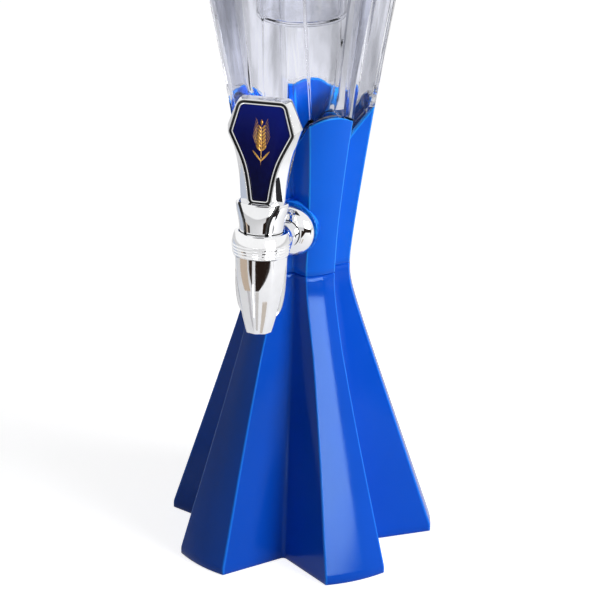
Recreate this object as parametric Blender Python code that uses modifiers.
# Beer tower dispenser
#
# An hourglass tower with a five lobed star plan: a blue base shell and collar, a clear tank
# that holds an ice tube under a lid, and a chrome tap in the valley between two lobes.
# Metres, +Z up.  The origin is on the floor, on the tower's axis, and the tap faces -Y.

import math

import bmesh
import bpy
from mathutils import Matrix, Vector


# Clearances and cutting
fit_gap = 0.0003
pin_gap = 0.0001
overrun = 0.0020
merge_distance = 0.00001

# Star plan
lobe_count = 5
lobe_pitch = math.tau / lobe_count
valley_angle = lobe_pitch / 2
tap_direction = -math.pi / 2
edge_radius = 0.0016
valley_fillet = 0.0026
fillet_steps = 2
arc_shares = (-0.5, 0.0, 0.5)

# Heights along the tower
seam_height = 0.1820
waist_drop = 0.0069
waist_height = seam_height - waist_drop
leg_middle_share = 0.3427
leg_middle = waist_height * leg_middle_share
leg_top_share = 0.7424
leg_top = waist_height * leg_top_share
tap_rise = 0.0323
tap_height = seam_height + tap_rise
collar_rise = 0.0995
collar_corner_height = seam_height + collar_rise
collar_arch = 0.0040
collar_valley_drop = 0.0195
tank_flank_rise = 0.0685
tank_flank_height = collar_corner_height + tank_flank_rise
tank_rise = 0.3380
tank_top = seam_height + tank_rise
floor_gap = 0.0005

# Tower profile: straight legs below, a round waist, a flare above
foot_radius = 0.0847
foot_height = 0.0045
foot_bend = 0.0025
waist_core = 0.0278
waist_blend = 0.0127
leg_slope_share = (waist_core - foot_radius) / (waist_height - foot_height)
flare_slope_share = 0.1530
trumpet_start_rise = 0.0680
trumpet_start = seam_height + trumpet_start_rise
trumpet_rise = 0.0109

# Walls
base_wall = 0.0030
collar_wall = 0.0030
tank_wall = 0.0028
seam_bevel = 0.0006
collar_gap = 0.0014
tank_clearance = 0.0009
tank_shoulder = 0.0030

# Half angle of a lobe's outer face, and the valley's radius as a share of the lobe's
half_angles = (
    (0.0, math.radians(13.7)),
    (leg_top, math.radians(13.6)),
    (seam_height, math.radians(18.2)),
    (tap_height, math.radians(16.8)),
    (collar_corner_height, math.radians(18.6)),
    (tank_flank_height, math.radians(24.0)),
    (tank_top, math.radians(28.0)),
)
valley_shares = (
    (0.0, 0.567),
    (leg_middle, 0.600),
    (leg_top, 0.670),
    (seam_height, 0.755),
    (tap_height, 0.735),
    (collar_corner_height, 0.705),
    (tank_flank_height, 0.690),
    (tank_top, 0.740),
)

# Base fittings
deck_thickness = 0.0030
plate_thickness = 0.0040
plate_recess = 0.0006
plate_clearance = 0.0005
plate_screw_inset = 0.0127
plate_screw_radius = foot_radius - plate_screw_inset
plate_boss_radius = 0.0040
plate_boss_height = 0.0230
foot_pad_radius = 0.0095
foot_pad_inset = 0.0297
foot_pad_circle = foot_radius - foot_pad_inset
foot_pad_thickness = 0.0022
screw_radius = 0.0015
screw_head_radius = 0.0028
screw_head_height = 0.0018
screw_length = 0.0100
neck_screw_inset = 0.0063
neck_screw_circle = waist_core - neck_screw_inset
neck_boss_radius = 0.0034
neck_boss_height = 0.0080
spigot_inset = 0.0128
spigot_radius = waist_core - spigot_inset
spigot_height = 0.0060

# Tank seat
seat_pad_thickness = 0.0024
tank_floor = 0.0030

# Tap seat on the collar
tap_boss_stand = 0.0083
tap_turn = math.radians(5.0)
tap_boss_radius = 0.0173
tank_pad_depth = 0.0195
tank_pad_radius = 0.0125

# Tap shank, its washers, nut and cover
shank_radius = 0.0075
shank_bore = 0.0045
shank_outside = 0.0125
flange_washer_thickness = 0.0010
hole_washer_thickness = 0.0015
hole_washer_radius = 0.0115
nut_radius = 0.0120
nut_thickness = 0.0070
nut_margin = 0.0030
shank_inside = tank_pad_depth + hole_washer_thickness + nut_thickness + nut_margin
dome_radius = 0.0160
dome_height = 0.0082
dome_rim = 0.0014
dome_wall = 0.0015
dome_steps = 6
dome_fullness = 0.98
arm_radius = 0.0085
arm_tip_radius = 0.0080

# Tap body, on an axis that leans back towards the tower
tap_reach = 0.0600
tap_lean = math.radians(5.75)
spout_facets = 8
spout_top = 0.0050
spout_heights = (0.0050, -0.0060, -0.0135, -0.0300, -0.0370, -0.0410)
spout_radii = (0.0158, 0.0149, 0.0139, 0.0106, 0.0089, 0.0077)
shroud_heights = (0.0046, -0.0065, -0.0176, -0.0259, -0.0300, -0.0315)
shroud_radii = (0.0155, 0.0153, 0.0147, 0.0132, 0.0113, 0.0100)
chamber_radius = 0.0112
chamber_floor = -0.0100
spout_bore = 0.0055

# Bonnet, ring nut and valve
bonnet_flange_radius = 0.0138
bonnet_flange_thickness = 0.0024
ring_top = 0.0192
ring_top_radius = 0.0152
ring_radius = 0.0170
ring_bottom_radius = 0.0159
ring_bore = 0.0130
ring_bulge_power = 0.7
ring_groove_depth = 0.0004
ring_groove_heights = (0.0072, 0.0090, 0.0108)
ring_groove_width = 0.0008
cheek_inside = 0.0052
cheek_thickness = 0.0018
cheek_half_depth = 0.0020
cheek_eye_radius = 0.0024
pivot_forward = 0.0035
pivot_height = 0.0240
pin_radius = 0.0012
pin_head_radius = 0.0018
pin_head_thickness = 0.0008
finger_offset = 0.0070
finger_radius = 0.0011
yoke_half_width = 0.0024
yoke_wall = 0.0018
stem_radius = 0.0019
stem_collar_radius = 0.0040
stem_collar_thickness = 0.0012
stem_stud_radius = 0.0014
seal_radius = 0.0072
seal_thickness = 0.0032
seal_web = 0.0011
o_ring_radius = 0.0006
lever_swing = math.radians(25.0)

# Lever: a skirt over the valve and a shield shaped handle
skirt_web = 0.0315
skirt_top = 0.0365
skirt_heights = (0.0196, 0.0255, 0.0310, 0.0350)
skirt_half_widths = (0.0126, 0.0134, 0.0147, 0.0155)
skirt_half_depths = (0.0126, 0.0130, 0.0128, 0.0118)
skirt_cap_inset = 0.0012
skirt_wall = 0.0015
skirt_sides = 32
skirt_groove_radius = 0.0008
skirt_groove_top = 0.0090
skirt_groove_bottom = 0.0062
lever_ear_inside = 0.0029
lever_ear_thickness = 0.0018
lever_ear_half_depth = 0.0055
lever_ear_drop = 0.0028

# Shield outlines as (height, half width), from the foot up to the shoulder and the top corner
handle_outline = (
    (0.0345, 0.0127),
    (0.0450, 0.0134),
    (0.0540, 0.0145),
    (0.0630, 0.0164),
    (0.0795, 0.0217),
    (0.0965, 0.0146),
)
badge_outline = (
    (0.0378, 0.0044),
    (0.0475, 0.0058),
    (0.0555, 0.0075),
    (0.0630, 0.0101),
    (0.0770, 0.0170),
    (0.0932, 0.0124),
)
shield_corner_radius = 0.0030
handle_foot_radius = 0.0030
badge_foot_radius = 0.0014
shield_corner_steps = 3
shield_flank_points = 7
miter_limit = 0.5
handle_front = -0.0060
handle_shoulder = -0.0005
handle_back_edge = 0.0035
handle_back = 0.0058
handle_back_inset = 0.0022
badge_groove = 0.0022
badge_recess = 0.0022
badge_frame_width = 0.0007
badge_frame_height = 0.0019
badge_plate_height = 0.0015

# Ice tube, its cap and the lid
ice_tube_radius = 0.0270
ice_tube_foot_radius = 0.0267
ice_tube_wall = 0.0022
ice_tube_depth = 0.1840
ice_tube_bottom = tank_top - ice_tube_depth
ice_tube_corner = 0.0026
ice_flange_radius = 0.0315
ice_flange_thickness = 0.0025
cap_top_thickness = 0.0030
cap_plug_length = 0.0140
cap_plug_wall = 0.0025
cap_knob_radius = 0.0120
cap_knob_height = 0.0150
cap_knob_round = 0.0030
cap_knob_foot = 0.0090
cap_seal_radius = 0.0010
lid_wall = 0.0024
lid_skirt = 0.0100
lid_rise = 0.0050
lid_hub_radius = 0.0340
lid_clearance = 0.0004
lid_seal_thickness = 0.0012

# Segments of round pieces
round_segments = 32
small_segments = 16
tube_segments = 32

seat_wall = collar_wall + tank_clearance
collar_rise_shares = (0.10, 0.28, 0.60, 0.80, 1.0)


def clear_scene():
    for item in list(bpy.data.objects):
        bpy.data.objects.remove(item, do_unlink=True)


clear_scene()
parts = bpy.data.collections.new("beer_tower_dispenser")
cutters = bpy.data.collections.new("cutters")
bpy.context.scene.collection.children.link(parts)
bpy.context.scene.collection.children.link(cutters)


# Materials

def make_material(name, color, roughness, metallic=0.0, transmission=0.0):
    material = bpy.data.materials.new(name)
    material.use_nodes = True
    shader = material.node_tree.nodes["Principled BSDF"]
    shader.inputs["Base Color"].default_value = (*color, 1.0)
    shader.inputs["Roughness"].default_value = roughness
    shader.inputs["Metallic"].default_value = metallic
    shader.inputs["Transmission Weight"].default_value = transmission
    return material


blue = (0.006, 0.085, 0.62)
chrome = (0.86, 0.87, 0.89)
clear = (0.93, 0.94, 0.98)
black = (0.015, 0.015, 0.018)
steel = (0.62, 0.62, 0.63)
milky = (0.80, 0.82, 0.84)
navy = (0.002, 0.006, 0.10)

finishes = {
    "base_skirt": (blue, 0.16),
    "collar": (blue, 0.14),
    "base_plate": (black, 0.45),
    "base_plate_screw": (steel, 0.30, 1.0),
    "neck_screw": (steel, 0.30, 1.0),
    "rubber_foot": (black, 0.85),
    "tank_seat_pad": (black, 0.80),
    "tank": (clear, 0.02, 0.0, 1.0),
    "tap_flange_washer": (black, 0.75),
    "tank_hole_washer": (milky, 0.60),
    "tap_escutcheon": (chrome, 0.05, 1.0),
    "tap_shank": (milky, 0.40),
    "shank_nut": (milky, 0.45),
    "tap_body": (chrome, 0.06, 1.0),
    "bonnet_ring": (chrome, 0.08, 1.0),
    "valve_bonnet": (black, 0.40),
    "stem_o_ring": (black, 0.70),
    "valve_stem": (milky, 0.35),
    "valve_seal": (black, 0.75),
    "lever_pin": (steel, 0.25, 1.0),
    "tap_lever": (chrome, 0.05, 1.0),
    "badge_frame": (chrome, 0.08, 1.0),
    "badge_plate": (navy, 0.10),
    "ice_tube": (clear, 0.02, 0.0, 1.0),
    "ice_tube_cap": (blue, 0.18),
    "ice_cap_seal": (milky, 0.60),
    "lid": (blue, 0.16),
    "lid_seal": (milky, 0.60),
}


# Modelling helpers

def add_object(name, mesh, collection=parts):
    item = bpy.data.objects.new(name, mesh)
    collection.objects.link(item)
    if collection is cutters:
        item.hide_render = True
        item.display_type = "WIRE"
    else:
        mesh.materials.append(make_material(name, *finishes[name.rstrip("_0123456789")]))
    return item


def mesh_from(bm, name, smooth_angle=math.radians(35)):
    bmesh.ops.recalc_face_normals(bm, faces=bm.faces)
    mesh = bpy.data.meshes.new(name)
    bm.to_mesh(mesh)
    bm.free()
    mesh.shade_smooth()
    mesh.set_sharp_from_angle(angle=smooth_angle)
    return mesh


def loft(name, rings, collection=parts, closed=False):
    """Skins over rings of points, and caps the first and last ring unless the loft is closed."""
    bm = bmesh.new()
    rows = [[bm.verts.new(point) for point in ring] for ring in rings]
    steps = list(zip(rows, rows[1:]))
    if closed:
        steps.append((rows[-1], rows[0]))
    for low, high in steps:
        for here, there in zip(range(-1, len(low) - 1), range(len(low))):
            bm.faces.new((low[here], low[there], high[there], high[here]))
    if not closed:
        bm.faces.new(rows[0])
        bm.faces.new(rows[-1])
    return add_object(name, mesh_from(bm, name), collection)


def turned(name, profile, segments=round_segments, collection=parts, closed=False):
    """A profile of (radius, height) points turned about Z; closed profiles make rings."""
    bm = bmesh.new()
    points = [bm.verts.new((radius, 0.0, height)) for radius, height in profile]
    ends = points[1:] + points[:1] if closed else points[1:]
    for first, second in zip(points, ends):
        if first.co.x > 0 or second.co.x > 0:
            bm.edges.new((first, second))
    mesh = bpy.data.meshes.new(name)
    bm.to_mesh(mesh)
    bm.free()
    item = add_object(name, mesh, collection)
    screw = item.modifiers.new("turn", "SCREW")
    screw.steps = segments
    screw.render_steps = segments
    screw.use_merge_vertices = True
    screw.merge_threshold = merge_distance
    screw.use_smooth_shade = False
    return item


def disc(name, radius, low, high, segments=round_segments, collection=parts):
    """A cylinder between two heights on its own Z axis."""
    bm = bmesh.new()
    middle = Matrix.Translation((0.0, 0.0, (low + high) / 2))
    bmesh.ops.create_cone(bm, cap_ends=True, segments=segments, radius1=radius, radius2=radius,
                          depth=high - low, matrix=middle)
    return add_object(name, mesh_from(bm, name), collection)


def ring(name, outer, inner, low, high, segments=round_segments, collection=parts):
    profile = ((outer, high), (outer, low), (inner, low), (inner, high))
    return turned(name, profile, segments, collection, closed=True)


def block(name, low, high, collection=cutters):
    bm = bmesh.new()
    size = [far - near for near, far in zip(low, high)]
    middle = [(far + near) / 2 for near, far in zip(low, high)]
    bmesh.ops.create_cube(bm, size=1.0, matrix=Matrix.Translation(middle) @ Matrix.Diagonal((*size, 1.0)))
    return add_object(name, mesh_from(bm, name), collection)


def boolean(target, tool, operation):
    step = target.modifiers.new(tool.name, "BOOLEAN")
    step.operation = operation
    step.solver = "EXACT"
    step.object = tool
    return target


def cut(target, tool):
    return boolean(target, tool, "DIFFERENCE")


def join(target, tool):
    return boolean(target, tool, "UNION")


def keep(target, tool):
    return boolean(target, tool, "INTERSECT")


def empty(name, frame, parent=None):
    guide = bpy.data.objects.new(name, None)
    guide.empty_display_size = arm_radius
    parts.objects.link(guide)
    guide.parent = parent
    guide.matrix_local = frame
    return guide


def carry(guide, *items, offset=(0.0, 0.0, 0.0)):
    for item in items:
        item.parent = guide
        item.location = offset
    return items[0]


def turned_copies(name, profile, places):
    """A separate piece at each place, all turned from the same profile and numbered from 1."""
    for number, place in enumerate(places, 1):
        turned(f"{name}_{number}", profile, small_segments).location = place


# The tower's surface

def table_value(table, height):
    """Smooth value of a table of (height, value) rows, by a cubic through the neighbouring rows."""
    heights = [row[0] for row in table]
    values = [row[1] for row in table]
    if height <= heights[0]:
        return values[0]
    if height >= heights[-1]:
        return values[-1]
    place = max(index for index, level in enumerate(heights[:-1]) if level <= height)
    span = heights[place + 1] - heights[place]

    def slope(index):
        below = max(index - 1, 0)
        above = min(index + 1, len(values) - 1)
        return (values[above] - values[below]) / (heights[above] - heights[below])

    part = (height - heights[place]) / span
    start = (1 + 2 * part) * (1 - part) ** 2 * values[place]
    end = part ** 2 * (3 - 2 * part) * values[place + 1]
    leave = part * (1 - part) ** 2 * span * slope(place)
    arrive = part ** 2 * (part - 1) * span * slope(place + 1)
    return start + end + leave + arrive


def lobe_radius(height):
    """Radius of the lobes' outer faces: two straight slopes blended round the waist."""
    rise = height - waist_height
    mean_slope = (flare_slope_share + leg_slope_share) / 2
    half_turn = (flare_slope_share - leg_slope_share) / 2
    radius = waist_core + mean_slope * rise + half_turn * math.hypot(rise, waist_blend)
    if height > trumpet_start:
        radius += trumpet_rise * ((height - trumpet_start) / (tank_top - trumpet_start)) ** 2
    return min(radius, foot_radius)


def valley_distance(height):
    return lobe_radius(height) * table_value(valley_shares, height)


def fillet(before, corner, after, radius):
    """Points of a round between two straight lines that meet at a corner."""
    back = (before - corner).normalized()
    ahead = (after - corner).normalized()
    half = back.angle(ahead) / 2
    reach = min(radius / math.tan(half), (before - corner).length / 2, (after - corner).length / 2)
    swing = math.pi / 2 - half
    centre = corner + (back + ahead).normalized() * (reach / math.cos(half))
    start = corner + back * reach - centre
    axis = back.x * ahead.y - back.y * ahead.x
    turn = -math.copysign(2 * swing, axis) / fillet_steps
    return [centre + Matrix.Rotation(turn * step, 2) @ start for step in range(fillet_steps + 1)]


def star_outline(height, inset=0.0, radius=None):
    """The star at one height, drawn inwards by an inset, as plan points and a share of the drop
    from the lobe's corner (0) to the valley (1); the outer faces hold negative shares."""
    outer = lobe_radius(height) if radius is None else radius
    half_angle = table_value(half_angles, height)
    valley_reach = outer * table_value(valley_shares, height)
    corner = Vector((math.cos(half_angle), math.sin(half_angle))) * outer
    valley = Vector((math.cos(valley_angle), math.sin(valley_angle))) * valley_reach
    along = (valley - corner).normalized()
    inward = Vector((along.y, -along.x))
    if inward.y > 0:
        inward = -inward
    shifted = corner + inward * inset
    arc_radius = outer - inset
    reach = shifted.dot(along)
    run = -reach - math.sqrt(max(reach ** 2 - shifted.length_squared + arc_radius ** 2, 0.0))
    other_run = -reach + math.sqrt(max(reach ** 2 - shifted.length_squared + arc_radius ** 2, 0.0))
    corner = shifted + along * min(run, other_run, key=abs)
    middle_line = Vector((math.cos(valley_angle), math.sin(valley_angle)))
    across = Vector((-middle_line.y, middle_line.x))
    valley = shifted + along * (-shifted.dot(across) / along.dot(across))
    edge_angle = math.atan2(corner.y, corner.x)
    tangent_point = corner + Vector((math.sin(edge_angle), -math.cos(edge_angle))) * corner.y
    corner_round = fillet(tangent_point, corner, valley, edge_radius)
    mirrored = Matrix.Rotation(lobe_pitch, 2) @ Vector((corner.x, -corner.y))
    valley_round = fillet(corner, valley, mirrored, valley_fillet)
    first = corner_round[0]
    arc_angle = math.atan2(first.y, first.x)
    lobe = [(Vector((point.x, -point.y)), 0.0) for point in reversed(corner_round)]
    for share in arc_shares:
        angle = arc_angle * share
        lobe.append((Vector((math.cos(angle), math.sin(angle))) * first.length, share ** 2 - 1))
    lobe += [(point, 0.0) for point in corner_round]
    lobe += [(point, 1.0) for point in valley_round]
    outline = []
    for index in range(lobe_count):
        spin = Matrix.Rotation(tap_direction + valley_angle + index * lobe_pitch, 2)
        outline += [(spin @ point, share) for point, share in lobe]
    return outline


def star_ring(height, inset=0.0, radius=None):
    outline = star_outline(height, inset, radius)
    return [Vector((point.x, point.y, height)) for point, _ in outline]


def edge_height(share):
    """Height of the collar's top edge: an arch on each outer face, falling to the valleys."""
    if share < 0:
        return collar_corner_height - collar_arch * share
    return collar_corner_height - collar_valley_drop * share


def edged_ring(start, blend, inset, lift=0.0):
    """A ring part way from a flat height to the collar's edge line, with lift above that line."""
    points = []
    for index, (_, share) in enumerate(star_outline(collar_corner_height)):
        height = start + (edge_height(share) + lift - start) * blend
        flat = star_outline(height, inset)[index][0]
        points.append(Vector((flat.x, flat.y, height)))
    return points


def even(low, high, count):
    return [low + (high - low) * step / (count - 1) for step in range(count)]


# Base

def base_skirt():
    deck_low = seam_height - deck_thickness
    legs = even(foot_height + foot_bend, leg_top, 4)
    neck = even(leg_top, seam_height - seam_bevel, 6)[1:]
    outer = [star_ring(seam_height, seam_bevel)]
    outer += [star_ring(height) for height in reversed(legs + neck)]
    outer.append(star_ring(foot_height, radius=foot_radius))
    outer.append(star_ring(floor_gap + seam_bevel, radius=foot_radius))
    outer.append(star_ring(floor_gap, seam_bevel, radius=foot_radius))
    inner = [star_ring(floor_gap, base_wall, radius=foot_radius)]
    inner.append(star_ring(foot_height, base_wall, radius=foot_radius))
    inner += [star_ring(height, base_wall) for height in legs[1:]]
    inner += [star_ring(height, base_wall) for height in even(leg_top, deck_low, 3)[1:]]
    skirt = loft("base_skirt", outer + inner)
    boss_low = plate_recess + plate_thickness + fit_gap
    for place in lobe_places(plate_screw_radius):
        boss = disc("plate_boss", plate_boss_radius, boss_low, boss_low + plate_boss_height,
                    small_segments, cutters)
        boss.location = place
        join(skirt, boss)
        pilot = disc("plate_pilot", screw_radius + fit_gap, boss_low - overrun,
                     boss_low + screw_length, small_segments, cutters)
        pilot.location = place
        cut(skirt, pilot)
    for place in lobe_places(neck_screw_circle):
        hole = disc("neck_hole", screw_radius + fit_gap, deck_low - overrun,
                    seam_height + overrun, small_segments, cutters)
        hole.location = place
        cut(skirt, hole)
    cut(skirt, disc("spigot_hole", spigot_radius + fit_gap, deck_low - overrun,
                    seam_height + overrun, round_segments, cutters))
    return skirt


def lobe_places(distance, height=0.0):
    angles = [tap_direction + valley_angle + index * lobe_pitch for index in range(lobe_count)]
    return [(distance * math.cos(angle), distance * math.sin(angle), height) for angle in angles]


def base_plate():
    inset = base_wall + plate_clearance
    low = plate_recess
    high = plate_recess + plate_thickness
    rings = [star_ring(height, inset, radius=foot_radius) for height in (low, high)]
    plate = loft("base_plate", rings)
    for place in lobe_places(plate_screw_radius):
        hole = disc("plate_hole", screw_radius + fit_gap, low - overrun, high + overrun,
                    small_segments, cutters)
        sink = disc("plate_sink", screw_head_radius + fit_gap, low - overrun,
                    low + screw_head_height + fit_gap, small_segments, cutters)
        for tool in (hole, sink):
            tool.location = place
            cut(plate, tool)
    for place in pad_places():
        seat = disc("pad_seat", foot_pad_radius + fit_gap, low - overrun,
                    foot_pad_thickness + fit_gap, small_segments, cutters)
        seat.location = place
        cut(plate, seat)
    return plate


def pad_places():
    return lobe_places(foot_pad_circle) + [(0.0, 0.0, 0.0)]


def rubber_feet():
    profile = ((0.0, foot_pad_thickness), (foot_pad_radius, foot_pad_thickness),
               (foot_pad_radius, 0.0), (0.0, 0.0))
    turned_copies("rubber_foot", profile, pad_places())


def screws(name, places):
    """Screws that point up; a place is the middle of the face under the head."""
    profile = ((0.0, screw_length), (screw_radius, screw_length), (screw_radius, 0.0),
               (screw_head_radius, 0.0), (screw_head_radius, -screw_head_height),
               (0.0, -screw_head_height))
    turned_copies(name, profile, places)


def base_screws():
    screws("base_plate_screw", lobe_places(plate_screw_radius, plate_recess + screw_head_height))
    screws("neck_screw", lobe_places(neck_screw_circle, seam_height - deck_thickness - fit_gap))


# Collar and tank

def edge_start():
    """Height above which the collar's rings rise towards its edge line."""
    return seam_height + neck_boss_height


def waist_core_solid(name, bottom, inset):
    """The star between the seam and the collar's edge, with the collar's own ring heights."""
    rings = [star_ring(bottom, inset)]
    rings += [edged_ring(edge_start(), share, inset) for share in collar_rise_shares]
    return loft(name, rings, cutters)


def collar():
    low = seam_height + fit_gap
    floor = low + collar_wall
    rings = [star_ring(low, seam_bevel), star_ring(low + seam_bevel)]
    rings += [star_ring(height) for height in even(low + seam_bevel, edge_start(), 3)[1:]]
    rings += [edged_ring(edge_start(), share, 0.0) for share in collar_rise_shares]
    rings += [edged_ring(edge_start(), share, collar_wall) for share in reversed(collar_rise_shares)]
    rings += [star_ring(height, collar_wall) for height in (edge_start(), floor)]
    shell = loft("collar", rings)
    boss = disc("tap_boss", tap_boss_radius, -tap_boss_radius, 0.0, tube_segments, cutters)
    carry(tap_axis, boss)
    cut(boss, waist_core_solid("collar_core", low, collar_wall / 2))
    join(shell, boss)
    join(shell, disc("spigot", spigot_radius, low - spigot_height, floor - collar_wall / 2,
                     round_segments, cutters))
    for place in lobe_places(neck_screw_circle):
        post = disc("neck_boss", neck_boss_radius, low + collar_wall / 2, floor + neck_boss_height,
                    small_segments, cutters)
        pilot = disc("neck_pilot", screw_radius + fit_gap, low - overrun, low + screw_length,
                     small_segments, cutters)
        post.location = place
        pilot.location = place
        join(shell, post)
        cut(shell, pilot)
    room = disc("washer_room", dome_radius + fit_gap, 0.0, shank_outside, tube_segments, cutters)
    cut(shell, carry(tap_axis, room))
    cut(shell, shank_hole())
    return shell


def shank_hole():
    hole = disc("shank_hole", shank_radius + fit_gap, -shank_inside - overrun, overrun,
                small_segments, cutters)
    return carry(tap_axis, hole)


def seat_pad():
    low = seam_height + fit_gap + collar_wall + neck_boss_height + fit_gap
    inset = seat_wall + fit_gap
    rings = [star_ring(height, inset) for height in (low, low + seat_pad_thickness)]
    loft("tank_seat_pad", rings)
    return low + seat_pad_thickness + fit_gap


def tank(bottom):
    """The clear vessel: it stands in the collar, and its shoulder lies over the collar's edge."""
    inside = seat_wall + tank_wall
    floor = bottom + tank_floor
    outer = [star_ring(bottom, seat_wall)]
    outer += [edged_ring(edge_start(), share, seat_wall) for share in collar_rise_shares]
    outer.append(edged_ring(edge_start(), 1.0, seat_wall, collar_gap))
    outer += [edged_ring(tank_top, blend, 0.0, collar_gap) for blend in reversed(even(0.0, 1.0, 8))]
    inner = [edged_ring(tank_top, blend, tank_wall, collar_gap + tank_shoulder)
             for blend in even(0.0, 1.0, 6)]
    inner += [edged_ring(floor, blend, inside, collar_gap) for blend in reversed(even(0.0, 1.0, 4))]
    vessel = loft("tank", outer + inner)
    pad = disc("tank_pad", tank_pad_radius, -tank_pad_depth, 0.0, round_segments, cutters)
    carry(tap_axis, pad)
    keep(pad, waist_core_solid("tank_core", bottom, seat_wall + tank_wall / 2))
    join(vessel, pad)
    cut(vessel, shank_hole())
    return vessel


# Tap seat, along the shank's axis: heights count outwards from the boss face

def tap_seat():
    bore = shank_radius + fit_gap
    washer_low = fit_gap
    washer_high = washer_low + flange_washer_thickness
    carry(tap_axis, ring("tap_flange_washer", dome_radius - dome_wall, bore, washer_low, washer_high))
    dome_low = washer_high + fit_gap
    carry(tap_axis, turned("tap_escutcheon", dome_profile(dome_low), tube_segments, closed=True))
    carry(tap_axis, ring("tap_shank", shank_radius, shank_bore, -shank_inside, shank_outside,
                         small_segments))
    washer_face = -tank_pad_depth - fit_gap
    carry(tap_axis, ring("tank_hole_washer", hole_washer_radius, bore,
                         washer_face - hole_washer_thickness, washer_face))
    nut_high = washer_face - hole_washer_thickness - fit_gap
    nut = disc("shank_nut", nut_radius, nut_high - nut_thickness, nut_high, 6)
    carry(tap_axis, nut)
    hole = disc("nut_hole", bore, nut_high - nut_thickness - overrun, nut_high + overrun,
                small_segments, cutters)
    carry(tap_axis, hole)
    cut(nut, hole)


def dome_profile(low):
    """A thin dome with a rim, open at the middle for the tap's arm."""
    hole = arm_radius + fit_gap
    outer = []
    inner = []
    for radius in even(hole, dome_radius, dome_steps):
        crown = math.sqrt(1.0 - (radius / dome_radius) ** 2 * dome_fullness)
        outer.append((radius, low + dome_rim + (dome_height - dome_rim) * crown))
        inner_radius = min(radius, dome_radius - dome_wall)
        inner.append((inner_radius, low + dome_rim + (dome_height - dome_rim) * crown - dome_wall))
    return outer + [(dome_radius, low), (dome_radius - dome_wall, low)] + list(reversed(inner[:-1]))


# Tap body, along its own axis: heights count up from the arm

def faceted(name, heights, radii, sides, turn, collection):
    rings = []
    for height, radius in zip(heights, radii):
        angles = [turn + math.tau * step / sides for step in range(sides)]
        rings.append([Vector((radius * math.cos(angle), radius * math.sin(angle), height))
                      for angle in angles])
    return loft(name, rings, collection)


def tap_body():
    body = faceted("tap_body", spout_heights, spout_radii, spout_facets, tap_direction, parts)
    carry(body_axis, body)
    profile = [(0.0, shroud_heights[0]), *zip(shroud_radii, shroud_heights), (0.0, shroud_heights[-1])]
    shroud = turned("shroud", profile, round_segments, cutters)
    half = block("shroud_half", (-foot_radius, 0.0, -foot_radius), (foot_radius, foot_radius, foot_radius))
    carry(body_axis, shroud, half)
    keep(shroud, half)
    join(body, shroud)
    arm_low = fit_gap + flange_washer_thickness + fit_gap
    arm = turned("arm", ((0.0, tap_reach), (arm_tip_radius, tap_reach), (arm_radius, arm_low),
                         (0.0, arm_low)), round_segments, cutters)
    socket = disc("arm_socket", shank_radius + fit_gap, arm_low - overrun,
                  shank_outside + fit_gap, small_segments, cutters)
    passage = disc("arm_passage", shank_bore, arm_low - overrun, tap_reach, small_segments, cutters)
    carry(tap_axis, arm, socket, passage)
    chamber = disc("chamber", chamber_radius, chamber_floor, spout_top + overrun, round_segments, cutters)
    outlet = disc("outlet", spout_bore, spout_heights[-1] - overrun, chamber_floor + overrun,
                  small_segments, cutters)
    ring_room = disc("ring_room", ring_radius + fit_gap, spout_top + pin_gap, ring_top + overrun,
                     tube_segments, cutters)
    carry(body_axis, chamber, outlet, ring_room)
    join(body, arm)
    for tool in (socket, passage, chamber, outlet, ring_room):
        cut(body, tool)
    return body


def bonnet_ring():
    """The grooved ring nut that holds the bonnet down on the body."""
    low = spout_top + fit_gap
    lip = low + bonnet_flange_thickness + fit_gap
    grooves = []
    for middle in reversed(ring_groove_heights):
        depth = ring_outer_radius(middle) - ring_groove_depth
        grooves += [(ring_outer_radius(middle + ring_groove_width / 2), middle + ring_groove_width / 2),
                    (depth, middle), (ring_outer_radius(middle - ring_groove_width / 2),
                                      middle - ring_groove_width / 2)]
    crown = [(ring_outer_radius(height), height)
             for height in reversed(even(ring_groove_heights[-1] + ring_groove_width, ring_top, 6))]
    flange_bore = bonnet_flange_radius + fit_gap
    profile = crown + grooves + [(ring_bottom_radius, low), (flange_bore, low), (flange_bore, lip),
                                 (ring_bore, lip), (ring_bore, ring_top)]
    return carry(body_axis, turned("bonnet_ring", profile, tube_segments, closed=True))


def ring_outer_radius(height):
    """The ring nut bulges between its bottom and its top edge."""
    low = spout_top + fit_gap
    share = (height - low) / (ring_top - low)
    straight = ring_bottom_radius + (ring_top_radius - ring_bottom_radius) * share
    bulge = ring_radius - (ring_bottom_radius + ring_top_radius) / 2
    return straight + bulge * math.sin(math.pi * share) ** ring_bulge_power


def valve_bonnet():
    """A flange that guides the stem, with two cheeks that carry the hinge pin."""
    low = spout_top + fit_gap
    high = low + bonnet_flange_thickness
    hole = stem_radius + pin_gap
    seat = o_ring_middle() + o_ring_radius + fit_gap
    seat_top = low + 2 * o_ring_radius + 2 * pin_gap
    profile = ((bonnet_flange_radius, high), (bonnet_flange_radius, low), (seat, low),
               (seat, seat_top), (hole, seat_top), (hole, high))
    bonnet = turned("valve_bonnet", profile, closed=True)
    carry(body_axis, bonnet)
    for side in (-1, 1):
        near = side * cheek_inside
        far = side * (cheek_inside + cheek_thickness)
        cheek = block("cheek", (min(near, far), -pivot_forward - cheek_half_depth, high - fit_gap),
                      (max(near, far), -pivot_forward + cheek_half_depth, pivot_height))
        eye = across_disc("cheek_eye", cheek_eye_radius, min(near, far) + pin_gap, max(near, far) - pin_gap)
        carry(body_axis, cheek)
        join(bonnet, cheek)
        join(bonnet, eye)
    reach = cheek_inside + cheek_thickness + overrun
    cut(bonnet, across_disc("cheek_hole", pin_radius + pin_gap, -reach, reach))
    return bonnet


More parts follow.
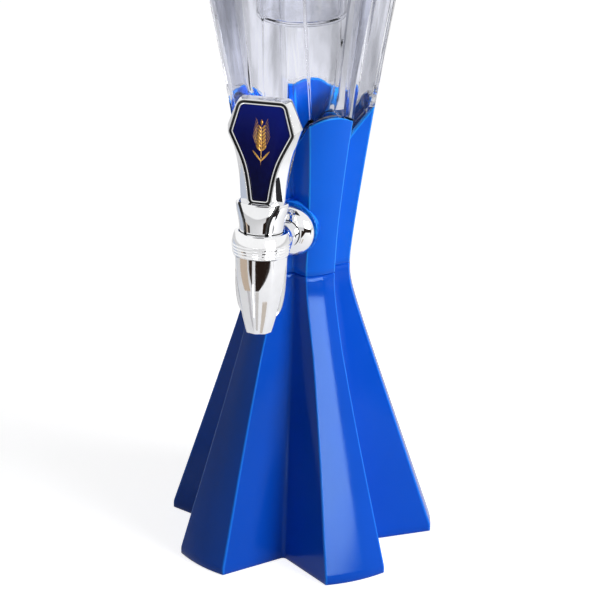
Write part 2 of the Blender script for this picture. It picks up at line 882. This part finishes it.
def across_disc(name, radius, low, high, collection=cutters, forward=None, height=None):
    """A cylinder along the hinge's axis, by default round the hinge pin."""
    item = disc(name, radius, low, high, small_segments, collection)
    carry(body_axis, item)
    item.rotation_euler = (0.0, math.pi / 2, 0.0)
    item.location = (0.0, -pivot_forward if forward is None else forward,
                     pivot_height if height is None else height)
    return item


def o_ring_middle():
    return stem_radius + pin_gap + o_ring_radius


def torus_profile(middle, radius, height, sides=8):
    angles = [-math.tau * step / sides for step in range(sides)]
    return [(middle + radius * math.cos(angle), height + radius * math.sin(angle)) for angle in angles]


def stem_o_ring():
    height = spout_top + fit_gap + pin_gap + o_ring_radius
    profile = torus_profile(o_ring_middle(), o_ring_radius, height)
    return carry(body_axis, turned("stem_o_ring", profile, small_segments, closed=True))


def lever_pin():
    reach = cheek_inside + cheek_thickness + pin_gap
    profile = ((0.0, reach + pin_head_thickness), (pin_head_radius, reach + pin_head_thickness),
               (pin_head_radius, reach), (pin_radius, reach), (pin_radius, -reach),
               (pin_head_radius, -reach), (pin_head_radius, -reach - pin_head_thickness),
               (0.0, -reach - pin_head_thickness))
    pin = turned("lever_pin", profile, small_segments)
    carry(body_axis, pin, offset=(0.0, -pivot_forward, pivot_height))
    pin.rotation_euler = (0.0, math.pi / 2, 0.0)
    return pin


def finger_place():
    return finger_offset - pivot_forward


def valve_stem():
    seal_top = chamber_floor + fit_gap + seal_thickness
    collar_low = seal_top + fit_gap
    collar_high = collar_low + stem_collar_thickness
    slot_half_height = finger_radius + fit_gap
    yoke_low = pivot_height - slot_half_height - yoke_wall
    yoke_high = pivot_height + slot_half_height + yoke_wall
    stud_low = chamber_floor + fit_gap + seal_web
    profile = ((0.0, yoke_low + yoke_wall / 2), (stem_radius, yoke_low + yoke_wall / 2),
               (stem_radius, collar_high), (stem_collar_radius, collar_high),
               (stem_collar_radius, collar_low), (stem_stud_radius, collar_low),
               (stem_stud_radius, stud_low), (0.0, stud_low))
    stem = turned("valve_stem", profile, small_segments)
    travel = finger_offset * (1 - math.cos(lever_swing))
    slot_near = finger_place() - travel - finger_radius - fit_gap
    slot_far = finger_place() + finger_radius + fit_gap
    yoke = block("yoke", (-yoke_half_width, slot_near - yoke_wall, yoke_low),
                 (yoke_half_width, slot_far + yoke_wall, yoke_high))
    slot = block("yoke_slot", (-yoke_half_width - overrun, slot_near, pivot_height - slot_half_height),
                 (yoke_half_width + overrun, slot_far, pivot_height + slot_half_height))
    carry(body_axis, stem, yoke, slot)
    join(stem, yoke)
    return cut(stem, slot)


def valve_seal():
    low = chamber_floor + fit_gap
    hole_low = low + seal_web - fit_gap
    hole = stem_stud_radius + pin_gap
    top = low + seal_thickness
    profile = ((hole, top), (seal_radius, top), (seal_radius, low + seal_thickness / 2),
               (spout_bore, low), (0.0, low), (0.0, hole_low), (hole, hole_low))
    return carry(body_axis, turned("valve_seal", profile, small_segments, closed=True))


# Lever, drawn on the tap body's axis and carried by the hinge

def skirt_ring(height, half_width, half_depth, shrink=0.0):
    points = []
    for step in range(skirt_sides):
        angle = math.tau * step / skirt_sides
        points.append(Vector(((half_width - shrink) * math.cos(angle),
                              (half_depth - shrink) * math.sin(angle), height)))
    return points


def tap_lever():
    levels = list(zip(skirt_heights, skirt_half_widths, skirt_half_depths))
    inner = [skirt_ring(skirt_web, skirt_half_widths[1], skirt_half_depths[1], skirt_wall)]
    inner += [skirt_ring(height, width, depth, skirt_wall) for height, width, depth in reversed(levels[:2])]
    outer = [skirt_ring(height, width, depth) for height, width, depth in levels]
    outer.append(skirt_ring(skirt_top, skirt_half_widths[-1], skirt_half_depths[-1], skirt_cap_inset))
    lever = loft("tap_lever", inner + outer)
    join(lever, handle())
    lever_parts = [lever]
    for side in (-1, 1):
        near = side * lever_ear_inside
        far = side * (lever_ear_inside + lever_ear_thickness)
        ear = block("lever_ear", (min(near, far), -lever_ear_half_depth, pivot_height - lever_ear_drop),
                    (max(near, far), lever_ear_half_depth, skirt_web + overrun))
        lever_parts.append(ear)
        join(lever, ear)
    reach = lever_ear_inside + lever_ear_thickness / 2
    join(lever, across_disc("finger", finger_radius, -reach, reach, forward=finger_place()))
    reach = lever_ear_inside + lever_ear_thickness + overrun
    cut(lever, across_disc("lever_hole", pin_radius + pin_gap, -reach, reach))
    for side in (-1, 1):
        groove = skirt_groove(side)
        lever_parts.append(groove)
        cut(lever, groove)
    carry(body_axis, *lever_parts[1:])
    carry(lever_axis, lever, offset=(0.0, pivot_forward, -pivot_height))
    return lever


def skirt_groove(side):
    """A tube down the skirt's front that leaves a groove beside the front panel."""
    curve = bpy.data.curves.new("skirt_groove", "CURVE")
    curve.dimensions = "3D"
    curve.bevel_depth = skirt_groove_radius
    curve.bevel_resolution = 1
    curve.use_fill_caps = True
    spline = curve.splines.new("POLY")
    places = list(zip(skirt_heights, skirt_half_depths, skirt_half_widths))
    spline.points.add(len(places))
    for index, (height, depth, width) in enumerate([(skirt_heights[0] - overrun, *places[0][1:])] + places):
        share = (height - skirt_heights[0]) / (skirt_heights[-1] - skirt_heights[0])
        across = skirt_groove_bottom + (skirt_groove_top - skirt_groove_bottom) * share ** 2
        surface = depth * math.sqrt(1 - (across / width) ** 2)
        spline.points[index].co = (side * across, -surface, height, 1.0)
    guide = bpy.data.objects.new("skirt_groove", curve)
    cutters.objects.link(guide)
    solid = bpy.data.meshes.new_from_object(guide.evaluated_get(bpy.context.evaluated_depsgraph_get()))
    bpy.data.objects.remove(guide)
    bm = bmesh.new()
    bm.from_mesh(solid)
    bmesh.ops.remove_doubles(bm, verts=bm.verts, dist=merge_distance)
    return add_object("skirt_groove", mesh_from(bm, "skirt_groove"), cutters)


def shield(table, foot_round, offset=0.0):
    """Outline points of a shield: flat top, rounded corners and curved flanks."""
    flank = even(table[-2][0], table[0][0], shield_flank_points)
    right = [Vector((table[-1][1], table[-1][0]))]
    right += [Vector((table_value(table[:-1], height), height)) for height in flank]
    radii = [shield_corner_radius, shield_corner_radius] + [0.0] * (len(right) - 3) + [foot_round]
    corners = right + [Vector((-point.x, point.y)) for point in reversed(right)]
    corner_radii = radii + list(reversed(radii))
    outline = []
    for index, corner in enumerate(corners):
        before = corners[index - 1]
        after = corners[(index + 1) % len(corners)]
        outline += corner_points(before, corner, after, corner_radii[index])
    return offset_outline(outline, offset)


def corner_points(before, corner, after, radius):
    if radius == 0:
        return [corner]
    back = (before - corner).normalized()
    ahead = (after - corner).normalized()
    reach = radius / math.tan(back.angle(ahead) / 2)
    start = corner + back * reach
    end = corner + ahead * reach
    points = []
    for step in range(shield_corner_steps + 1):
        part = step / shield_corner_steps
        points.append(start * (1 - part) ** 2 + corner * 2 * part * (1 - part) + end * part ** 2)
    return points


def offset_outline(outline, offset):
    """Moves a clockwise outline outwards by an offset."""
    moved = []
    for index, point in enumerate(outline):
        before = (point - outline[index - 1]).normalized()
        after = (outline[(index + 1) % len(outline)] - point).normalized()
        normals = [Vector((-before.y, before.x)), Vector((-after.y, after.x))]
        middle = (normals[0] + normals[1]).normalized()
        moved.append(point + middle * (offset / max(middle.dot(normals[0]), miter_limit)))
    return moved


def at_depth(outline, depth):
    return [Vector((point.x, depth, point.y)) for point in outline]


def handle():
    outer = shield(handle_outline, handle_foot_radius)
    back = shield(handle_outline, handle_foot_radius, -handle_back_inset)
    rim = shield(badge_outline, badge_foot_radius, badge_groove + badge_frame_width)
    recess = shield(badge_outline, badge_foot_radius, badge_groove)
    floor = handle_front + badge_recess
    rings = [at_depth(back, handle_back), at_depth(outer, handle_back_edge),
             at_depth(outer, handle_shoulder), at_depth(rim, handle_front),
             at_depth(recess, handle_front), at_depth(recess, floor)]
    return carry(body_axis, loft("handle", rings, cutters))


def badge():
    floor = handle_front + badge_recess - fit_gap
    outside = shield(badge_outline, badge_foot_radius, badge_frame_width)
    inside = shield(badge_outline, badge_foot_radius)
    front = floor - badge_frame_height
    frame_rings = [at_depth(outside, floor), at_depth(outside, front), at_depth(inside, front),
                   at_depth(inside, floor)]
    frame = loft("badge_frame", frame_rings, closed=True)
    plate_outline = shield(badge_outline, badge_foot_radius, -fit_gap)
    plate = loft("badge_plate", [at_depth(plate_outline, floor),
                                 at_depth(plate_outline, floor - badge_plate_height)])
    carry(lever_axis, frame, plate, offset=(0.0, pivot_forward, -pivot_height))


# Ice tube, its cap and the lid

def lid_heights():
    rim = tank_top + fit_gap + lid_seal_thickness + fit_gap
    return rim, rim + lid_wall


def circle_ring(height, radius):
    points = []
    for corner in star_ring(tank_top):
        flat = Vector((corner.x, corner.y)).normalized() * radius
        points.append(Vector((flat.x, flat.y, height)))
    return points


def lid():
    under, top = lid_heights()
    low = tank_top - lid_skirt
    inner = -lid_clearance
    outer = inner - lid_wall
    hole = ice_tube_radius + 2 * fit_gap
    hub = top + lid_rise
    rings = [star_ring(low, inner), star_ring(low, outer), star_ring(tank_top, outer),
             lid_ring(top - edge_radius / 2, outer), lid_ring(top, outer + edge_radius),
             circle_ring(hub, lid_hub_radius), circle_ring(hub, hole), circle_ring(hub - lid_wall, hole),
             circle_ring(hub - lid_wall, lid_hub_radius), lid_ring(under, tank_wall * 2),
             lid_ring(under, inner)]
    loft("lid", rings, closed=True)
    return hub


def lid_ring(height, inset):
    """The star of the tank's rim, lifted to a height above it."""
    return [Vector((point.x, point.y, height)) for point in star_ring(tank_top, inset)]


def lid_seal():
    low = tank_top + fit_gap
    high = low + lid_seal_thickness
    rings = [lid_ring(low, fit_gap), lid_ring(high, fit_gap), lid_ring(high, tank_wall),
             lid_ring(low, tank_wall)]
    return loft("lid_seal", rings, closed=True)


def ice_tube(hub):
    flange_low = hub + fit_gap
    flange_high = flange_low + ice_flange_thickness
    inside = ice_tube_radius - ice_tube_wall
    foot_inside = ice_tube_foot_radius - ice_tube_wall
    corner = ice_tube_bottom + ice_tube_corner
    outer = [(ice_flange_radius, flange_high), (ice_flange_radius, flange_low),
             (ice_tube_radius, flange_low), (ice_tube_foot_radius, corner)]
    outer += corner_arc(ice_tube_foot_radius, ice_tube_bottom, ice_tube_corner)
    inner = list(reversed(corner_arc(foot_inside, ice_tube_bottom + ice_tube_wall, ice_tube_corner)))
    profile = outer + [(0.0, ice_tube_bottom), (0.0, ice_tube_bottom + ice_tube_wall)] + inner
    profile += [(foot_inside, corner + ice_tube_wall), (inside, flange_high)]
    turned("ice_tube", profile, tube_segments, closed=True)
    return flange_high


def corner_arc(radius, bottom, rounding):
    """Points from the wall down round the corner to the floor."""
    middle = Vector((radius - rounding, bottom + rounding))
    angles = [-math.pi / 2 * share for share in even(0.0, 1.0, 4)[1:]]
    return [(middle.x + rounding * math.cos(angle), middle.y + rounding * math.sin(angle))
            for angle in angles]


def ice_cap(flange_high):
    low = flange_high + fit_gap
    top = low + cap_top_thickness
    plug = ice_tube_radius - ice_tube_wall - fit_gap - cap_seal_radius
    bottom = low - cap_plug_length
    seal_height = low - cap_plug_length / 2
    knob_top = top + cap_knob_height
    neck = cap_knob_radius - cap_knob_round
    profile = [(0.0, knob_top), (neck, knob_top), (cap_knob_radius, knob_top - cap_knob_round),
               (cap_knob_radius, top + cap_knob_foot), (neck, top),
               (ice_flange_radius - edge_radius, top),
               (ice_flange_radius, top - edge_radius), (ice_flange_radius, low), (plug, low),
               (plug, seal_height + cap_seal_radius + fit_gap),
               (plug - cap_seal_radius, seal_height + cap_seal_radius + fit_gap),
               (plug - cap_seal_radius, seal_height - cap_seal_radius - fit_gap),
               (plug, seal_height - cap_seal_radius - fit_gap), (plug, bottom),
               (plug - cap_plug_wall, bottom), (plug - cap_plug_wall, low), (0.0, low)]
    turned("ice_tube_cap", profile, tube_segments)
    seal = torus_profile(plug + fit_gap, cap_seal_radius - fit_gap / 2, seal_height)
    turned("ice_cap_seal", seal, tube_segments, closed=True)


# Assembly

seat_point = Vector((0.0, -valley_distance(tap_height) - tap_boss_stand, tap_height))
seat_frame = Matrix.Translation(seat_point) @ Matrix.Rotation(-tap_turn, 4, "Z")
outward = Matrix.Rotation(math.pi / 2, 4, "X")
body_frame = seat_frame @ Matrix.Translation((0.0, -tap_reach, 0.0)) @ Matrix.Rotation(-tap_lean, 4, "X")
tap_axis = empty("tap_axis", seat_frame @ outward)
body_axis = empty("body_axis", body_frame)
lever_axis = empty("lever_axis", Matrix.Translation((0.0, -pivot_forward, pivot_height)), body_axis)

base_skirt()
base_plate()
rubber_feet()
base_screws()
collar()
tank(seat_pad())
tap_seat()
tap_body()
bonnet_ring()
valve_bonnet()
stem_o_ring()
lever_pin()
valve_stem()
valve_seal()
tap_lever()
badge()
lid_seal()
ice_cap(ice_tube(lid()))
bpy.context.view_layer.update()
